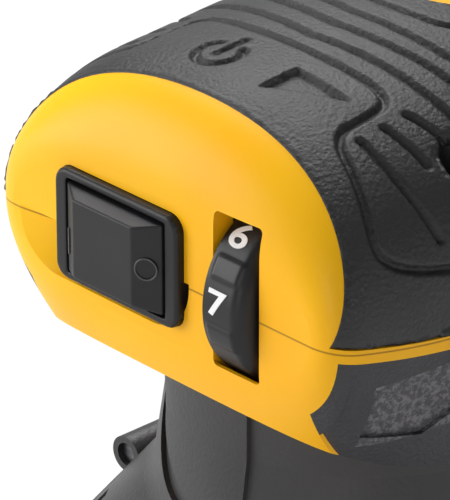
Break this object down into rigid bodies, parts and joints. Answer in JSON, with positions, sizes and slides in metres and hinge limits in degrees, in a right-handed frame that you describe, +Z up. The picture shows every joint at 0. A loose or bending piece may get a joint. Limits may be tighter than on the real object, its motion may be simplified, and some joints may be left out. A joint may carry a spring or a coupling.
{
  "type": "random orbital sander",
  "caption": "Palm-grip random orbital sander with a round hook-and-loop pad, rocker switch, speed dial and dust outlet.",
  "frame": {"origin": "on the motor axis, at the working face of the pad", "axes": "+Z up along the motor axis, -Y to the nose with the switch and dial, +X to the right of someone facing the nose"},
  "size_m": [0.1267, 0.145, 0.1388],
  "materials": {
    "yellow_shell": "moulded glass-filled nylon, satin yellow",
    "grip_rubber": "soft overmoulded rubber with a fine leather-like grain",
    "boot_rubber": "smooth black rubber",
    "housing_plastic": "dark grey moulded nylon, fine spark texture",
    "dial_plastic": "black moulded plastic with white numbers",
    "inner_plastic": "plain black moulded plastic",
    "pad_foam": "closed-cell polyurethane foam",
    "hook_face": "hook side of a hook and loop fastening",
    "steel": "turned and ground steel",
    "screw_steel": "blackened zinc-plated steel",
    "bearing_steel": "polished bearing steel",
    "cast_alloy": "die-cast alloy",
    "laminations": "stacked electrical steel",
    "copper": "enamelled copper wire and segments",
    "brass": "drawn brass",
    "carbon": "pressed carbon"
  },
  "bodies": {
    "housing": {"lower_bearing": "bearing_steel", "upper_bearing": "bearing_steel", "stator": "laminations", "field_coils": "copper", "bearing_plate": "cast_alloy", "plate_screws": "screw_steel", "motor_bracket": "inner_plastic", "brush_holders": "brass", "brushes": "carbon", "brush_springs": "steel", "motor_housing": "housing_plastic", "neck_panel": "housing_plastic", "lug_screws": "screw_steel", "brake_ring": "boot_rubber", "dust_port": "housing_plastic", "lower_shell": "yellow_shell", "side_grips": "grip_rubber", "top_cap": "yellow_shell", "top_grip": "grip_rubber", "cap_screws": "screw_steel", "inlet_collar": "boot_rubber", "switch_boot": "boot_rubber", "rocker_pin": "steel", "switch_body": "inner_plastic", "speed_module": "inner_plastic"},
    "rotor": {"motor_shaft": "steel", "armature_core": "laminations", "armature_windings": "copper", "commutator": "copper", "fan": "inner_plastic", "balance_weight": "cast_alloy", "pad_bearing": "bearing_steel", "bearing_retainer": "steel", "retainer_screws": "screw_steel"},
    "pad": {"pad_spindle": "steel", "spindle_circlip": "steel", "backing_plate": "inner_plastic", "pad_screws": "screw_steel", "pad_foam": "pad_foam", "hook_layer": "hook_face"},
    "rocker": {"switch_rocker": "boot_rubber"},
    "dial": {"speed_dial": "dial_plastic", "dial_shaft": "steel"}
  },
  "joints": [
    {"name": "rotor_spin", "type": "hinge", "parent": "housing", "child": "rotor", "pos_m": [0, 0, 0.06], "axis": [0, 0, 1], "continuous": true},
    {"name": "pad_spin", "type": "hinge", "parent": "rotor", "child": "pad", "pos_m": [0.0012, 0, 0.02], "axis": [0, 0, 1], "continuous": true},
    {"name": "switch_rock", "type": "hinge", "parent": "housing", "child": "rocker", "pos_m": [-0.0087, -0.0454, 0.1071], "axis": [0, 0, 1], "range_deg": [0, 10]},
    {"name": "dial_turn", "type": "hinge", "parent": "housing", "child": "dial", "pos_m": [0.014, -0.0353, 0.1051], "axis": [1, 0, 0], "range_deg": [0, 270]}
  ]
}
